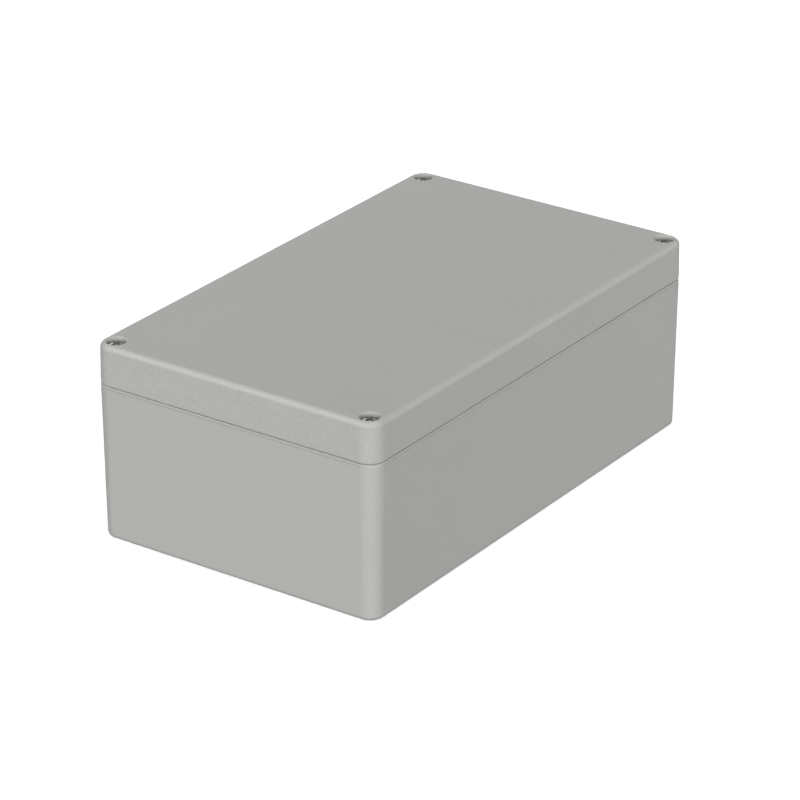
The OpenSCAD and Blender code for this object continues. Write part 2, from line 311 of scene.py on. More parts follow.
class Shell:
    """A mesh made of loops of points, with the exact normal of each point where it is known."""

    def __init__(self):
        self.bm = bmesh.new()
        self.normals = []

    def loop(self, outline, z, facing):
        """Vertices of an outline at one height, whose surface looks up or down by `facing`."""
        verts = []
        for x, y, azimuth in outline:
            verts.append(self.bm.verts.new((x, y, z)))
            level = math.cos(facing)
            self.normals.append((level * math.cos(azimuth), level * math.sin(azimuth), math.sin(facing)))
        return verts

    def free_loop(self, points):
        """Vertices at given points, whose normals follow from their faces."""
        verts = [self.bm.verts.new(point) for point in points]
        self.normals += [(0, 0, 0)] * len(verts)
        return verts

    def bridge(self, one, two, closed=True):
        """A band of four-sided faces between two loops."""
        count = len(one)
        for i in range(count if closed else count - 1):
            j = (i + 1) % count
            self.bm.faces.new((one[i], one[j], two[j], two[i]))

    def band(self, loops):
        """Bands between each loop and the next."""
        for one, two in zip(loops, loops[1:]):
            self.bridge(one, two)

    def sweep(self, outline, profile, closed=False):
        """A profile carried round an outline. Returns its first and last loop."""
        loops = [self.loop(outline(d), z, facing) for d, z, facing in profile]
        self.band(loops + loops[:1] if closed else loops)
        return loops[0], loops[-1]

    def morph(self, outline, profile, other, share):
        """As sweep, with a profile that gives way to another by share(azimuth), from 0 to 1."""
        loops = []
        for (d1, z1, facing1), (d2, z2, facing2) in zip(profile, other):
            loop = []
            for (x1, y1, azimuth), (x2, y2, _) in zip(outline(d1), outline(d2)):
                s = share(azimuth)
                point = (x1 + s * (x2 - x1), y1 + s * (y2 - y1), azimuth)
                loop += self.loop([point], z1 + s * (z2 - z1), facing1 + s * (facing2 - facing1))
            loops.append(loop)
        self.band(loops)
        return loops[0], loops[-1]

    def fill(self, *loops):
        """A flat face inside the first loop and outside the others."""
        edges = []
        for loop in loops:
            edges += [self.bm.edges.get(pair) for pair in zip(loop, loop[1:] + loop[:1])]
        bmesh.ops.triangle_fill(self.bm, edges=edges, use_beauty=True)

    def mesh(self, name):
        """The finished mesh, in metres."""
        bmesh.ops.recalc_face_normals(self.bm, faces=self.bm.faces)
        bmesh.ops.scale(self.bm, vec=(MM, MM, MM), verts=self.bm.verts)
        mesh = bpy.data.meshes.new(name)
        self.bm.to_mesh(mesh)
        self.bm.free()
        mesh.shade_smooth()
        mesh.set_sharp_from_angle(angle=HARD_EDGE)
        mesh.normals_split_custom_set_from_vertices(self.normals)
        return mesh


def spot(point):
    """A point's place in millimetres, rounded so that it can be looked up."""
    return tuple(round(c / MM, SPOT_DIGITS) for c in point)


def carved(name, body, cutter):
    """The body's mesh less the cutter's, with each point's exact normal where it is known."""
    known = {}
    solids = []
    for shell in (body, cutter):
        mesh = shell.mesh(name)
        known.update((spot(v.co), normal) for v, normal in zip(mesh.vertices, shell.normals))
        solids.append(bpy.data.objects.new(name, mesh))
        bpy.context.scene.collection.objects.link(solids[-1])
    cut = solids[0].modifiers.new("cut", "BOOLEAN")
    cut.operation = "DIFFERENCE"
    cut.solver = "EXACT"
    cut.object = solids[1]
    graph = bpy.context.evaluated_depsgraph_get()
    mesh = bpy.data.meshes.new_from_object(solids[0].evaluated_get(graph))
    for solid in solids:
        bpy.data.objects.remove(solid)
    normals = []
    for face in mesh.polygons:
        places = (spot(mesh.vertices[v].co) for v in face.vertices)
        normals += [known.get(place, face.normal) for place in places]
    mesh.shade_smooth()
    mesh.normals_split_custom_set(normals)
    return mesh


def screw_axis(corner):
    """Axis of the lid screw in a corner, in millimetres."""
    low, high = node_box("lid_screw_" + corner)
    return ((low.x + high.x) / 2, (low.y + high.y) / 2)


def fixing_axis(corner):
    return (CORNERS[corner][0] * FIXING_X, CORNERS[corner][1] * FIXING_Y)


def boss_axis(corner):
    return (CORNERS[corner][0] * BOSS_X, CORNERS[corner][1] * BOSS_Y)


# Paths of rounded profiles run with the plastic on their left. This is how far their ends lead.
LEAD = 1.0


def base_profile(rim_r):
    """Outer profile of the base, with the given round along its rim."""
    return rounded([
        (0, 0),
        (CORNER_R - SLOPE * SEAM_Z, 0, FOOT_R),
        (CORNER_R, SEAM_Z, rim_r),
        (0, SEAM_Z),
    ])


def corner_share(azimuth):
    """0 along the sides, 1 in the middle of the upright corners."""
    return math.sin(2 * azimuth) ** 2


def base_mesh():
    """Drafted tray with corner towers, a tongue along its rim and four board bosses."""
    shell = Shell()
    along_sides = base_profile(RIM_R)
    at_corners = base_profile(CORNER_RIM_R)
    underside, rim = shell.morph(box_outline, along_sides, at_corners, corner_share)
    bay_floor_d = -SLOPE * (SEAM_Z - FLOOR_Z)
    tongue, floor = shell.sweep(seal_outline, rounded([
        (TONGUE_OUT + LEAD, SEAM_Z),
        (TONGUE_OUT, SEAM_Z, EDGE_R),
        (TONGUE_OUT, TONGUE_TOP_Z, TONGUE_R),
        (TONGUE_IN, TONGUE_TOP_Z, TONGUE_R),
        (bay_floor_d, FLOOR_Z, FLOOR_R),
        (bay_floor_d - LEAD, FLOOR_Z),
    ]))
    rim_holes = []
    underside_holes = []
    boss_feet = []
    for corner in CORNERS:
        mouth, end = shell.sweep(circle_at(screw_axis(corner)), rounded([
            (INSERT_HOLE_R + LEAD, SEAM_Z),
            (INSERT_HOLE_R, SEAM_Z, EDGE_R),
            (INSERT_HOLE_R, INSERT_LOW.z, EDGE_R),
            (CORE_R, INSERT_LOW.z, EDGE_R),
            (CORE_R, FIXING_SEAT_Z, EDGE_R),
            (0, FIXING_SEAT_Z),
        ]))
        rim_holes.append(mouth)
        shell.fill(end)
        mouth, end = shell.sweep(circle_at(fixing_axis(corner)), rounded([
            (CHANNEL_R + LEAD, SEAM_Z),
            (CHANNEL_R, SEAM_Z, EDGE_R),
            (CHANNEL_R, FIXING_SEAT_Z, EDGE_R),
            (FIXING_HOLE_R, FIXING_SEAT_Z, EDGE_R),
            (FIXING_HOLE_R, 0, EDGE_R),
            (FIXING_HOLE_R + LEAD, 0),
        ]))
        rim_holes.append(mouth)
        underside_holes.append(end)
        boss_foot_d = BOSS_R + SLOPE * (BOSS_TOP_Z - FLOOR_Z)
        foot, end = shell.sweep(circle_at(boss_axis(corner)), rounded([
            (boss_foot_d + LEAD, FLOOR_Z),
            (boss_foot_d, FLOOR_Z, BOSS_FOOT_R),
            (BOSS_R, BOSS_TOP_Z, EDGE_R),
            (PILOT_R, BOSS_TOP_Z, EDGE_R),
            (PILOT_R, PILOT_FLOOR_Z, EDGE_R),
            (0, PILOT_FLOOR_Z),
        ]))
        boss_feet.append(foot)
        shell.fill(end)
    shell.fill(underside, *underside_holes)
    shell.fill(rim, tongue, *rim_holes)
    shell.fill(floor, *boss_feet)
    return shell.mesh("moulded_base")


def lid_mesh():
    """Shallow cover with screw recesses in its top and a groove along its lower face."""
    shell = Shell()
    lower, top = shell.sweep(box_outline, rounded([
        (0, SEAM_Z),
        (CORNER_R, SEAM_Z, SEAM_R),
        (CORNER_R - SLOPE * (TOP_Z - SEAM_Z), TOP_Z, LID_EDGE_R),
        (0, TOP_Z),
    ]))
    ceiling, groove = shell.sweep(seal_outline, rounded([
        (RIB_IN - LEAD, HOLLOW_Z),
        (RIB_IN, HOLLOW_Z, HOLLOW_R),
        (RIB_IN, SEAM_Z, EDGE_R),
        (GROOVE_IN, SEAM_Z, EDGE_R),
        (GROOVE_IN, GROOVE_TOP_Z, EDGE_R),
        (GROOVE_OUT, GROOVE_TOP_Z, EDGE_R),
        (GROOVE_OUT, SEAM_Z, EDGE_R),
        (GROOVE_OUT + LEAD, SEAM_Z),
    ]))
    lower_holes = []
    for corner in CORNERS:
        for axis, radius, end_z in (
            (screw_axis(corner), PILLAR_R, WEB_Z),
            (fixing_axis(corner), CHANNEL_R, HOLLOW_Z),
        ):
            end, mouth = shell.sweep(circle_at(axis), rounded([
                (0, end_z),
                (radius, end_z, HOLLOW_R),
                (radius, SEAM_Z, EDGE_R),
                (radius + LEAD, SEAM_Z),
            ]))
            lower_holes.append(mouth)
            shell.fill(end)
    shell.fill(top)
    shell.fill(lower, groove, *lower_holes)
    shell.fill(ceiling)
    return carved("moulded_lid", shell, recess_cutter())


def recess_cutter():
    """What the four screw recesses take out of the lid, down through its webs."""
    shell = Shell()
    mouth_z = TOP_Z + MOUTH_LIFT
    for corner in CORNERS:
        circle = circle_at(screw_axis(corner), RECESS_STEPS)
        mouth, foot = shell.sweep(circle, rounded([
            (RECESS_R + LEAD, mouth_z),
            (RECESS_R, mouth_z, RECESS_EDGE_R),
            (RECESS_R, SEAT_Z, EDGE_R),
            (SHANK_HOLE_R, SEAT_Z, EDGE_R),
            (SHANK_HOLE_R, WEB_Z - LEAD, EDGE_R),
            (0, WEB_Z - LEAD),
        ]))
        above = shell.loop(circle(RECESS_R + RECESS_EDGE_R), mouth_z + LEAD, 0)
        shell.bridge(mouth, above)
        shell.fill(above)
        shell.fill(foot)
    return shell


def gasket_mesh():
    """Soft ring that lies in the lid's groove."""
    shell = Shell()
    inner = GROOVE_IN + GASKET_GAP
    outer = GROOVE_OUT - GASKET_GAP
    shell.sweep(seal_outline, rounded([
        (inner, GASKET_LOW.z, GASKET_R),
        (outer, GASKET_LOW.z, GASKET_R),
        (outer, GASKET_HIGH.z, GASKET_R),
        (inner, GASKET_HIGH.z, GASKET_R),
    ], closed=True), closed=True)
    return shell.mesh("foam_gasket")


def ridge(turns):
    """Height of a metric thread, from 0 at its root to 1 at its crest, along one pitch."""
    u = turns % 1
    flank = 5 / 16
    crest = 2 / 16
    if u < flank:
        return u / flank
    if u < flank + crest:
        return 1
    return max(0, 1 - (u - flank - crest) / flank)


def thread_loops(shell, low, high, radius_at):
    """Loops of a thread between two heights; radius_at(z, height of the ridge) gives the radius."""
    rows = round((high - low) / THREAD_PITCH * THREAD_ROWS)
    loops = []
    for row in range(rows + 1):
        z = low + (high - low) * row / rows
        points = []
        for step in range(TURNED_STEPS):
            turn = step / TURNED_STEPS
            r = radius_at(z, ridge(z / THREAD_PITCH - turn))
            points.append((r * math.cos(math.tau * turn), r * math.sin(math.tau * turn), z))
        loops.append(shell.free_loop(points))
    shell.band(loops)
    return loops[0], loops[-1]


def head_dome():
    """Profile of the head's top, from the round on its edge to near its middle."""
    edge_d = HEAD_R - HEAD_EDGE_R
    edge_z = DOME_Z + math.sqrt((DOME_R - HEAD_EDGE_R) ** 2 - edge_d ** 2)
    brim = math.atan2(edge_z - DOME_Z, edge_d)
    crest = math.pi / 2 - DOME_MIDDLE / DOME_R
    profile = []
    for step in range(ROUND_STEPS):
        a = brim * step / ROUND_STEPS
        profile.append((edge_d + HEAD_EDGE_R * math.cos(a), edge_z + HEAD_EDGE_R * math.sin(a), a))
    for step in range(ROUND_STEPS + 1):
        a = brim + (crest - brim) * step / ROUND_STEPS
        profile.append((DOME_R * math.cos(a), DOME_Z + DOME_R * math.sin(a), a))
    return profile


def cross_loop(shell, sink):
    """Cross recess at a part of its depth, from 0 at the head's top to 1 at its foot."""
    reach = CROSS_REACH + (CROSS_FOOT - CROSS_REACH) * sink
    half_t = CROSS_HALF_T + (CROSS_FOOT_HALF_T - CROSS_HALF_T) * sink
    # The bend between two arms halves on the way down
    bend = CROSS_BEND_R * (1 - sink / 2)
    arm = [(reach, -half_t), (reach, half_t)]
    bend_centre = (half_t + bend, half_t + bend)
    arm += [(x, y) for x, y, _ in arc(bend_centre, bend, 270, 180, EDGE_STEPS)]
    points = []
    for quarter in range(4):
        spin = Matrix.Rotation(math.radians(90 * quarter), 2)
        points += [(*(spin @ Vector(p)), HEAD_TOP_Z - CROSS_DEPTH * sink) for p in arm]
    return shell.free_loop(points)


def screw_mesh():
    """Captive screw with a cross recess, a plain shank, a neck for its ring and a cut thread."""
    shell = Shell()
    turned = circle_at((0, 0), TURNED_STEPS)
    tip, chamfer = shell.sweep(turned, rounded([
        (0, TIP_Z),
        (NECK_R, TIP_Z, EDGE_R),
        (THREAD_R, TIP_Z + TIP_CHAMFER),
    ]))
    shell.fill(tip)
    shoulder_z = RING_LOW.z - NECK_GAP
    thread_low = TIP_Z + EDGE_R
    thread_high = shoulder_z - 2 * EDGE_R

    def radius_at(z, height):
        cut = THREAD_DEPTH * (1 - height) * min(1, (thread_high - z) / THREAD_PITCH)
        return min(THREAD_R - cut, NECK_R + z - TIP_Z)

    start, runout = thread_loops(shell, thread_low, thread_high, radius_at)
    shell.bridge(chamfer, start)
    shoulder, head = shell.sweep(turned, rounded([
        (THREAD_R, shoulder_z - LEAD),
        (THREAD_R, shoulder_z, EDGE_R),
        (NECK_R, shoulder_z, EDGE_R),
        (NECK_R, RING_HIGH.z + NECK_GAP, EDGE_R),
        (THREAD_R, RING_HIGH.z + NECK_GAP, EDGE_R),
        (THREAD_R, SEAT_Z, EDGE_R),
        (HEAD_R, SEAT_Z, EDGE_R),
        (HEAD_R, HEAD_TOP_Z),
    ]) + head_dome())
    shell.bridge(runout, shoulder)
    shell.fill(head)
    return carved("cross_screw", shell, cross_cutter())


def cross_cutter():
    """What the cross recess takes out of a head."""
    shell = Shell()
    cross = [cross_loop(shell, sink) for sink in CROSS_SINKS]
    shell.band(cross)
    shell.fill(cross[0])
    shell.fill(cross[-1])
    return shell


def ring_mesh():
    """Split nylon ring that snaps onto a screw's neck; its slit looks along +X."""
    shell = Shell()
    section = rounded([
        (RING_BORE_R, RING_LOW.z, EDGE_R),
        (RING_R, RING_LOW.z, EDGE_R),
        (RING_R, RING_HIGH.z, EDGE_R),
        (RING_BORE_R, RING_HIGH.z, EDGE_R),
    ], closed=True)
    chains = []
    for r, z, facing in section:
        gap = math.degrees(math.asin(RING_SLIT / 2 / r))
        chains.append(shell.loop(arc((0, 0), r, gap, 360 - gap, HOLE_STEPS), z, facing))
    for one, two in zip(chains, chains[1:] + chains[:1]):
        shell.bridge(one, two, closed=False)
    for end in (0, -1):
        shell.bm.faces.new([chain[end] for chain in chains])
    # The slit's ends are flat, so all normals are left to follow from the faces
    shell.normals = [(0, 0, 0)] * len(shell.normals)
    return shell.mesh("split_ring")


def knurl_loop(shell, r, depth, z):
    """Ring of straight knurl teeth."""
    points = []
    for step in range(TURNED_STEPS):
        a = math.tau * step / TURNED_STEPS
        tooth_r = r - depth * (step % 2)
        points.append((tooth_r * math.cos(a), tooth_r * math.sin(a), z))
    return shell.free_loop(points)


def insert_mesh():
    """Threaded brass insert with two knurled bands and a groove between them."""
    shell = Shell()
    # The bands and the groove take a third of the height each
    band_h = (INSERT_HIGH.z - INSERT_LOW.z) / 3
    groove_r = INSERT_R - INSERT_GROOVE
    rows = [
        (INSERT_R - INSERT_MOUTH, 0, INSERT_HIGH.z),
        (INSERT_R, KNURL_DEPTH, INSERT_HIGH.z - INSERT_MOUTH),
        (INSERT_R, KNURL_DEPTH, INSERT_HIGH.z - band_h),
        (groove_r, 0, INSERT_HIGH.z - band_h),
        (groove_r, 0, INSERT_LOW.z + band_h),
        (INSERT_R, KNURL_DEPTH, INSERT_LOW.z + band_h),
        (INSERT_R, KNURL_DEPTH, INSERT_LOW.z + INSERT_GROOVE),
        (groove_r, 0, INSERT_LOW.z),
    ]
    outside = [knurl_loop(shell, r, depth, z) for r, depth, z in rows]
    shell.band(outside)

    def radius_at(z, height):
        cut = INSERT_THREAD_DEPTH * height
        mouth = z - (INSERT_HIGH.z - INSERT_MOUTH)
        return INSERT_BORE_R + max(cut, mouth)

    low, high = thread_loops(shell, INSERT_LOW.z, INSERT_HIGH.z, radius_at)
    shell.bridge(outside[0], high)
    shell.bridge(low, outside[-1])
    return shell.mesh("brass_insert")


class Nodes:
    """A node tree, with short calls to add and join its nodes."""

    def __init__(self, tree):
        self.tree = tree

    def put(self, socket, value):
        """Sets a socket, or links another node's output to it. Colours are written without alpha."""
        if isinstance(value, bpy.types.NodeSocket):
            self.tree.links.new(value, socket)
        elif socket.type == "RGBA":
            socket.default_value = (*value, 1)
        else:
            socket.default_value = value

    def node(self, kind, **inputs):
        """A new node; in the names of its inputs an underscore stands for a space."""
        made = self.tree.nodes.new(kind)
        for name, value in inputs.items():
            self.put(made.inputs[name.replace("_", " ")], value)
        return made

    def math(self, operation, *values):
        made = self.tree.nodes.new("ShaderNodeMath")
        made.operation = operation
        for socket, value in zip(made.inputs, values):
            self.put(socket, value)
        return made.outputs["Value"]

    def measure(self, operation, *vectors):
        """A number worked out from vectors."""
        made = self.tree.nodes.new("ShaderNodeVectorMath")
        made.operation = operation
        for socket, vector in zip(made.inputs, vectors):
            self.put(socket, vector)
        return made.outputs["Value"]

    def parts(self, vector):
        """A vector's X, Y and Z."""
        return self.node("ShaderNodeSeparateXYZ", Vector=vector).outputs

    def spread(self, value, low, high, start=0):
        """A value from start to 1 spread between two others."""
        made = self.node("ShaderNodeMapRange", Value=value, From_Min=start, To_Min=low, To_Max=high)
        return made.outputs["Result"]

    def fade(self, value, end):
        """1 where a value is 0, falling to 0 where it reaches its end."""
        return self.spread(self.math("DIVIDE", value, end), 1, 0)

    def mix(self, factor, low, high, kind="FLOAT"):
        """One value that gives way to another as the factor goes from 0 to 1."""
        made = self.tree.nodes.new("ShaderNodeMix")
        made.data_type = kind
        for name, value in (("Factor", factor), ("A", low), ("B", high)):
            self.put(made.inputs[name], value)
        return made.outputs["Result"]


class Looks(Nodes):
    """The nodes of a material round its shader."""

    def __init__(self, name):
        self.material = bpy.data.materials.new(name)
        self.material.use_nodes = True
        super().__init__(self.material.node_tree)
        self.shader = self.tree.nodes["Principled BSDF"]
        coords = self.node("ShaderNodeTexCoord")
        self.position = coords.outputs["Object"]
        self.normal = coords.outputs["Normal"]

    def noise(self, size_mm, detail=2, roughness=0.5):
        """Noise whose features are about this many millimetres across."""
        made = self.node(
            "ShaderNodeTexNoise",
            Vector=self.position,
            Scale=1 / (size_mm * MM),
            Detail=detail,
            Roughness=roughness,
        )
        return made.outputs["Fac"]

    def colour(self, value, dark, light):
        """A ramp between two colours."""
        made = self.node("ShaderNodeValToRGB", Fac=value)
        for stop, colour in zip(made.color_ramp.elements, (dark, light)):
            stop.color = (*colour, 1)
        return made.outputs["Color"]

    def bump(self, height, depth_mm, strength):
        made = self.node("ShaderNodeBump", Height=height, Distance=depth_mm * MM, Strength=strength)
        self.set(Normal=made.outputs["Normal"])

    def set(self, **inputs):
        """Sets the shader's sockets; an underscore stands for a space."""
        for name, value in inputs.items():
            self.put(self.shader.inputs[name.replace("_", " ")], value)


def shade(colour, factor):
    """A colour made lighter or darker."""
    return tuple(factor * c for c in colour)


def varied(colour, spread):
    """The darkest and the lightest shade of a colour that varies by this much."""
    return shade(colour, 1 - spread), shade(colour, 1 + spread)


# Housing plastic. The sizes of grain, mottle, speckle and patches are in millimetres.
PLASTIC_GREY = (0.388, 0.388, 0.375)
PLASTIC_ROUGHNESS = (0.46, 0.58)
PLASTIC_PATCH = 1.4
PLASTIC_SPECULAR = 0.2
FINE_MOTTLE = 0.5
BROAD_MOTTLE = 24
BROAD_SHARE = 0.5
MOTTLE_SPREAD = 0.04
# Spark-eroded grain, with its strength on upright and on flat faces
FINE_GRAIN = 0.25
FINE_GRAIN_DETAIL = 3
FINE_GRAIN_ROUGHNESS = 0.6
COARSE_GRAIN = 0.6
GRAIN_DEPTH = 0.05
UPRIGHT_GRAIN = 0.55
FLAT_GRAIN = 0.12


def grey_plastic(name):
    """Looks and colour of the housing's moulded plastic, grained most on upright faces."""
    looks = Looks(name)
    flatness = looks.math("ABSOLUTE", looks.parts(looks.normal)["Z"])
    fine_grain = looks.noise(FINE_GRAIN, FINE_GRAIN_DETAIL, FINE_GRAIN_ROUGHNESS)
    grain = looks.math("ADD", fine_grain, looks.noise(COARSE_GRAIN))
    looks.bump(grain, GRAIN_DEPTH, looks.spread(flatness, UPRIGHT_GRAIN, FLAT_GRAIN))
    looks.set(
        Roughness=looks.spread(looks.noise(PLASTIC_PATCH), *PLASTIC_ROUGHNESS),
        Specular_IOR_Level=PLASTIC_SPECULAR,
    )
    mottle = looks.mix(BROAD_SHARE, looks.noise(FINE_MOTTLE), looks.noise(BROAD_MOTTLE))
    return looks, looks.colour(mottle, *varied(PLASTIC_GREY, MOTTLE_SPREAD))


# Fine speckle on the lid's ends
SPECKLE_SIZE = 0.6
SPECKLE_SPREAD = 0.2


def lid_plastic():
    """The housing's plastic, finely speckled on the lid's ends."""
    looks, colour = grey_plastic("lid_plastic")
    endness = looks.math("ABSOLUTE", looks.parts(looks.normal)["X"])
    speckle = looks.colour(looks.noise(SPECKLE_SIZE), *varied(PLASTIC_GREY, SPECKLE_SPREAD))
    looks.set(Base_Color=looks.mix(endness, colour, speckle, "RGBA"))
    return looks.material


# Painted shade in a faint band along the base's sides under the rim: its drop below the seam, half
# height and shade
RIM_SHADE_DROP = 0.75
RIM_SHADE_HALF_H = 0.6
RIM_PAINTED_SHADE = 0.84
# It has faded out where a corner has turned this far
RIM_SHADE_END = math.radians(15)
# Painted shade: the round of the foot darkens from this height down to the underside, which keeps its
# grey
FOOT_SHADE_Z = 1.8
FOOT_SHADE = 0.7
# A higher power keeps more of the round dark
UNDERSIDE_POWER = 8


def base_plastic():
    """The housing's plastic, with painted shade in a band under the rim and on the round of the foot."""
    looks, colour = grey_plastic("base_plastic")
    height = looks.parts(looks.position)["Z"]
    facing = looks.parts(looks.normal)
    offset = looks.math("ABSOLUTE", looks.math("SUBTRACT", height, (SEAM_Z - RIM_SHADE_DROP) * MM))
    turn = looks.math("ABSOLUTE", looks.math("MULTIPLY", facing["X"], facing["Y"]))
    # Painted shade under the lid's edge, in a band along the base's sides that fades out at the corners
    rim_shade = looks.math(
        "MULTIPLY",
        looks.fade(offset, RIM_SHADE_HALF_H * MM),
        looks.fade(turn, math.sin(RIM_SHADE_END) * math.cos(RIM_SHADE_END)),
    )
    colour = looks.mix(rim_shade, colour, shade(PLASTIC_GREY, RIM_PAINTED_SHADE), "RGBA")
    # Painted shade on the round of the foot, where it meets the floor
    underside = looks.math("POWER", looks.math("ABSOLUTE", facing["Z"]), UNDERSIDE_POWER)
    sideways = looks.math("SUBTRACT", 1, underside)
    foot = looks.math("MULTIPLY", looks.fade(height, FOOT_SHADE_Z * MM), sideways)
    looks.set(Base_Color=looks.mix(foot, colour, shade(PLASTIC_GREY, FOOT_SHADE), "RGBA"))
    return looks.material


# Gasket foam
FOAM_DARK = (0.032, 0.032, 0.034)
FOAM_LIGHT = (0.06, 0.06, 0.062)
FOAM_PATCH = 2
FOAM_CELL = 0.35
FOAM_CELL_DEPTH = 0.08
FOAM_CELL_STRENGTH = 0.6
FOAM_ROUGHNESS = (0.75, 0.95)
FOAM_DULL_PATCH = 0.6


def gasket_foam():
    """Dark foamed rubber with fine open cells."""
    looks = Looks("gasket_foam")
    cells = looks.node("ShaderNodeTexVoronoi", Vector=looks.position, Scale=1 / (FOAM_CELL * MM))
    looks.bump(cells.outputs["Distance"], FOAM_CELL_DEPTH, FOAM_CELL_STRENGTH)
    looks.set(
        Base_Color=looks.colour(looks.noise(FOAM_PATCH), FOAM_DARK, FOAM_LIGHT),
        Roughness=looks.spread(looks.noise(FOAM_DULL_PATCH), *FOAM_ROUGHNESS),
    )
    return looks.material


# Turned metals
METAL_PATCH = 0.8
METAL_DETAIL = 3
GROOVE_WANDER = 0.6
GROOVE_DEPTH = 0.004
GROOVE_STRENGTH = 0.5
# A wave texture of scale 1 runs through this many radians a metre
WAVE_RATE = 20


def turned_metal(name, dark, light, groove_mm):
    """Looks and colour of metal with the fine rings that turning leaves round its axis."""
    looks = Looks(name)
    rings = looks.node(
        "ShaderNodeTexWave",
        Vector=looks.position,
        Scale=math.tau / (WAVE_RATE * groove_mm * MM),
        Distortion=GROOVE_WANDER,
    )
    rings.wave_type = "RINGS"
    rings.rings_direction = "Z"
    looks.bump(rings.outputs["Fac"], GROOVE_DEPTH, GROOVE_STRENGTH)
    return looks, looks.colour(looks.noise(METAL_PATCH, METAL_DETAIL), dark, light)


# Screw steel, and the dull grey painted into its cross recess as shade
STEEL_DARK = (0.17, 0.17, 0.162)
STEEL_LIGHT = (0.23, 0.23, 0.22)
STEEL_GROOVE = 0.09
STEEL_ROUGHNESS = 0.3
STEEL_SPECULAR = 0.1
CROSS_PAINTED_SHADE = (0.165, 0.165, 0.148)
CROSS_ROUGHNESS = 0.8
# Depth below the dome from which a head's surface counts as the cross recess with painted shade
CROSS_SHADE_MARGIN = 0.005


def screw_steel():
    """Turned steel whose cross recess has painted shade, a dark and dull grey in place of the steel."""
    looks, shine = turned_metal("screw_steel", STEEL_DARK, STEEL_LIGHT, STEEL_GROOVE)
    x, y, z = looks.parts(looks.position)
    radius = looks.measure("LENGTH", looks.node("ShaderNodeCombineXYZ", X=x, Y=y).outputs["Vector"])
    from_dome_centre = looks.measure("DISTANCE", looks.position, (0, 0, DOME_Z * MM))
    inside = looks.math("LESS_THAN", radius, (CROSS_REACH + CROSS_BEND_R) * MM)
    below = looks.math("LESS_THAN", from_dome_centre, (DOME_R - CROSS_SHADE_MARGIN) * MM)
    above = looks.math("GREATER_THAN", z, (HEAD_TOP_Z - CROSS_DEPTH - CROSS_BEND_R) * MM)
    # Painted shade: the cross recess takes a dark, dull grey without the steel's shine
    shaded_cross = looks.math("MULTIPLY", inside, looks.math("MULTIPLY", below, above))
    looks.set(
        Base_Color=looks.mix(shaded_cross, shine, CROSS_PAINTED_SHADE, "RGBA"),
        Metallic=looks.math("SUBTRACT", 1, shaded_cross),
        Roughness=looks.spread(shaded_cross, STEEL_ROUGHNESS, CROSS_ROUGHNESS),
        Specular_IOR_Level=STEEL_SPECULAR,
    )
    return looks.material


# Insert brass
BRASS_DARK = (0.55, 0.37, 0.13)
BRASS_LIGHT = (0.68, 0.48, 0.19)
BRASS_GROOVE = 0.12
BRASS_ROUGHNESS = (0.26, 0.4)
BRASS_PATCH = 0.5


def insert_brass():
    looks, colour = turned_metal("insert_brass", BRASS_DARK, BRASS_LIGHT, BRASS_GROOVE)
    looks.set(
        Base_Color=colour,
        Metallic=1,
        Roughness=looks.spread(looks.noise(BRASS_PATCH, METAL_DETAIL), *BRASS_ROUGHNESS),
    )
    return looks.material


# Ring nylon
NYLON_DARK = (0.68, 0.66, 0.59)
NYLON_LIGHT = (0.76, 0.74, 0.68)
NYLON_PATCH = 1.2
NYLON_GRAIN = 0.25
NYLON_GRAIN_DETAIL = 3
NYLON_GRAIN_DEPTH = 0.02
NYLON_GRAIN_STRENGTH = 0.4
NYLON_ROUGHNESS = (0.4, 0.55)
NYLON_DULL_PATCH = 0.7
NYLON_SUBSURFACE = 0.25
# How far red, green and blue light scatter in it, in metres
NYLON_SCATTER = (0.0012, 0.001, 0.0007)


def ring_nylon():
    """Natural nylon, slightly see-through."""
    looks = Looks("ring_nylon")
    looks.bump(looks.noise(NYLON_GRAIN, NYLON_GRAIN_DETAIL), NYLON_GRAIN_DEPTH, NYLON_GRAIN_STRENGTH)
    looks.set(
        Base_Color=looks.colour(looks.noise(NYLON_PATCH), NYLON_DARK, NYLON_LIGHT),
        Roughness=looks.spread(looks.noise(NYLON_DULL_PATCH), *NYLON_ROUGHNESS),
        Subsurface_Weight=NYLON_SUBSURFACE,
        Subsurface_Radius=NYLON_SCATTER,
    )
    return looks.material


def place(name, mesh, material, node, slot, at=(0, 0), spin=0):
    """Puts a mesh where a CAD node is, on that node's body, and lets it stand for the node."""
    if not mesh.materials:
        mesh.materials.append(material)
    piece = bpy.data.objects.new(name, mesh)
    piece.location = (at[0] * MM, at[1] * MM, 0)
    piece.rotation_euler = (0, 0, math.radians(spin))
    bpy.context.scene.collection.objects.link(piece)
    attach(piece, frame["nodes"][node]["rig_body"])
    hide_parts(node)


# How far each screw's cross is turned from the enclosure's sides, in degrees
SCREW_SPIN = {"front_left": -9, "front_right": -13, "rear_left": -8, "rear_right": -5}


def build_pieces():
    place("moulded_base", base_mesh(), base_plastic(), "enclosure_base", "housing_plastic")
    place("moulded_lid", lid_mesh(), lid_plastic(), "lid", "housing_plastic")
    place("foam_gasket", gasket_mesh(), gasket_foam(), "gasket", "gasket_foam")
    steel = screw_steel()
    brass = insert_brass()
    nylon = ring_nylon()
    screw = screw_mesh()
    ring = ring_mesh()
    insert = insert_mesh()
    for corner, (sign_x, _) in CORNERS.items():
        at = screw_axis(corner)
        spin = SCREW_SPIN[corner]
        place("cross_screw_" + corner, screw, steel, "lid_screw_" + corner, "screw_steel", at, spin)
        slit = 180 if sign_x > 0 else 0
        place("split_ring_" + corner, ring, nylon, "retaining_ring_" + corner, "ring_nylon", at, slit)
        place("brass_insert_" + corner, insert, brass, "thread_insert_" + corner, "insert_brass", at)


# Studio: the world's light from straight below and from straight above
AMBIENT_LOW = 0.04
AMBIENT_HIGH = 0.62
WHITE = (1, 1, 1)
FLOOR_SIZE = 12.0
FLOOR_GREY = (0.8, 0.8, 0.8)
FLOOR_GLOW = 0.5
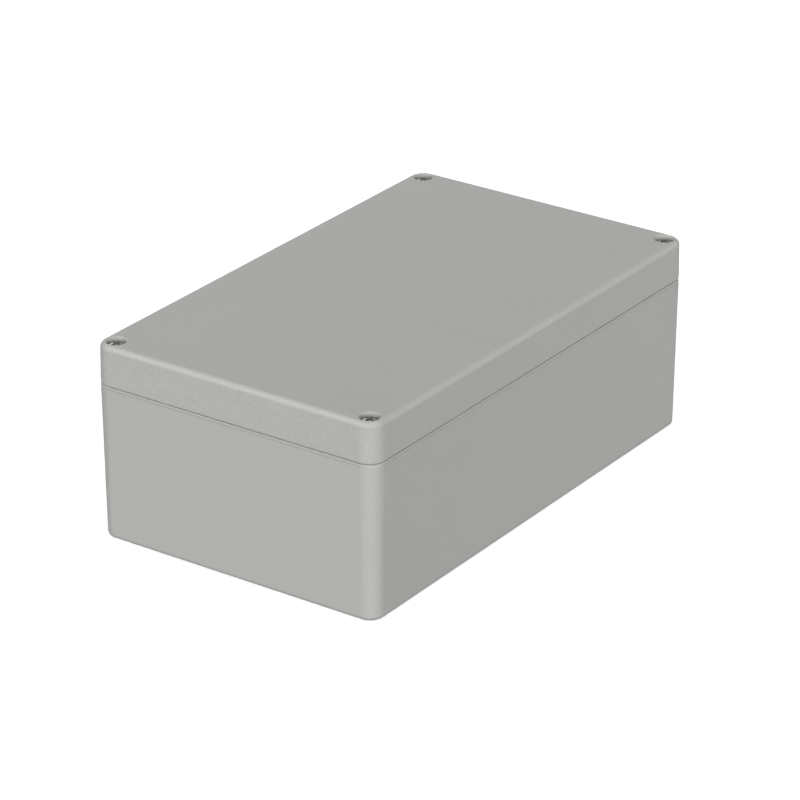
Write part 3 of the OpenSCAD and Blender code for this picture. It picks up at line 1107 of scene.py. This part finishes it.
# Where each sun comes from, its strength, the angle it fills and the kind of reflection it leaves out
SUNS = {
    "key": {"direction": (-0.776, -0.521, 0.32), "strength": 3.01, "angle": 60},
    "fill": {"direction": (0.76, 0.645, 0.08), "strength": 1.2, "angle": 10, "gloss": False},
    "rim": {"direction": (-0.589, 0.521, 0.62), "strength": 5.0, "angle": 40, "matt": False},
    "side": {"direction": (0.743, -0.657, 0.129), "strength": 1.0, "angle": 20, "matt": False},
    "back": {"direction": (0.55, 0.74, 0.37), "strength": 0.24, "angle": 15, "matt": False},
}


def seen_directly(nodes):
    """1 for camera, glossy and transmission rays, 0 for the rest."""
    path = nodes.node("ShaderNodeLightPath").outputs
    bent = nodes.math("MAXIMUM", path["Is Glossy Ray"], path["Is Transmission Ray"])
    return nodes.math("MAXIMUM", path["Is Camera Ray"], bent)


def make_world():
    """White where it is seen; elsewhere a soft light that grows from below to above."""
    world = bpy.data.worlds.new("studio")
    world.use_nodes = True
    nodes = Nodes(world.node_tree)
    direction = nodes.node("ShaderNodeTexCoord").outputs["Generated"]
    ambient = nodes.spread(nodes.parts(direction)["Z"], AMBIENT_LOW, AMBIENT_HIGH, start=-1)
    background = nodes.tree.nodes["Background"]
    nodes.put(background.inputs["Color"], WHITE)
    nodes.put(background.inputs["Strength"], nodes.spread(seen_directly(nodes), ambient, 1))
    bpy.context.scene.world = world


def floor_material():
    """White floor that takes shadows; from below it is clear, so that the underside can be seen."""
    material = bpy.data.materials.new("studio_floor")
    material.use_nodes = True
    nodes = Nodes(material.node_tree)
    nodes.tree.nodes.remove(nodes.tree.nodes["Principled BSDF"])
    diffuse = nodes.node("ShaderNodeBsdfDiffuse", Color=FLOOR_GREY)
    glow = nodes.node("ShaderNodeEmission", Strength=nodes.spread(seen_directly(nodes), 0, FLOOR_GLOW))
    lit = nodes.node("ShaderNodeAddShader")
    nodes.put(lit.inputs[0], diffuse.outputs["BSDF"])
    nodes.put(lit.inputs[1], glow.outputs["Emission"])
    clear = nodes.node("ShaderNodeBsdfTransparent")
    below = nodes.node("ShaderNodeNewGeometry").outputs["Backfacing"]
    floor = nodes.node("ShaderNodeMixShader", Fac=below)
    nodes.put(floor.inputs[1], lit.outputs["Shader"])
    nodes.put(floor.inputs[2], clear.outputs["BSDF"])
    nodes.put(nodes.tree.nodes["Material Output"].inputs["Surface"], floor.outputs["Shader"])
    return material


def make_floor():
    half = FLOOR_SIZE / 2
    mesh = bpy.data.meshes.new("floor")
    corners = [(-half, -half, 0), (half, -half, 0), (half, half, 0), (-half, half, 0)]
    mesh.from_pydata(corners, [], [range(len(corners))])
    mesh.materials.append(floor_material())
    floor = bpy.data.objects.new("floor", mesh)
    bpy.context.scene.collection.objects.link(floor)
    floor.visible_diffuse = False
    floor.visible_shadow = False


def make_sun(name, direction, strength, angle, matt=True, gloss=True):
    """Soft sunlight from a direction, which may leave out matt or glossy reflection."""
    sun = bpy.data.lights.new(name, "SUN")
    sun.energy = strength
    sun.angle = math.radians(angle)
    lamp = bpy.data.objects.new(name, sun)
    lamp.rotation_euler = Vector(direction).to_track_quat("Z", "Y").to_euler()
    bpy.context.scene.collection.objects.link(lamp)
    lamp.visible_diffuse = matt
    lamp.visible_glossy = gloss


# Camera: the photograph's direction, then distances in metres, then lens and sensor in millimetres
CAMERA_AZIMUTH = math.radians(-55.09)
CAMERA_ELEVATION = math.radians(24.905)
CAMERA_DISTANCE = 1.437
# How far right of the origin and above it the camera looks
CAMERA_SIDE = 0.000585
CAMERA_RISE = 0.02787
CAMERA_LENS = 176.49
CAMERA_SENSOR = 36


def make_camera():
    right = Vector((math.cos(CAMERA_AZIMUTH), math.sin(CAMERA_AZIMUTH), 0))
    ahead = Vector((-right.y, right.x, 0))
    back = -ahead * math.cos(CAMERA_ELEVATION) + Vector((0, 0, math.sin(CAMERA_ELEVATION)))
    up = back.cross(right)
    lens = bpy.data.cameras.new("camera")
    lens.sensor_width = CAMERA_SENSOR
    lens.lens = CAMERA_LENS
    camera = bpy.data.objects.new("camera", lens)
    turn = Matrix((right, up, back)).transposed().to_4x4()
    eye = right * CAMERA_SIDE + up * CAMERA_RISE + back * CAMERA_DISTANCE
    camera.matrix_world = Matrix.Translation(eye) @ turn
    bpy.context.scene.collection.objects.link(camera)
    bpy.context.scene.camera = camera


build_pieces()
make_world()
make_floor()
for name, sun in SUNS.items():
    make_sun(name, **sun)
make_camera()
bpy.context.scene.view_settings.view_transform = "Standard"
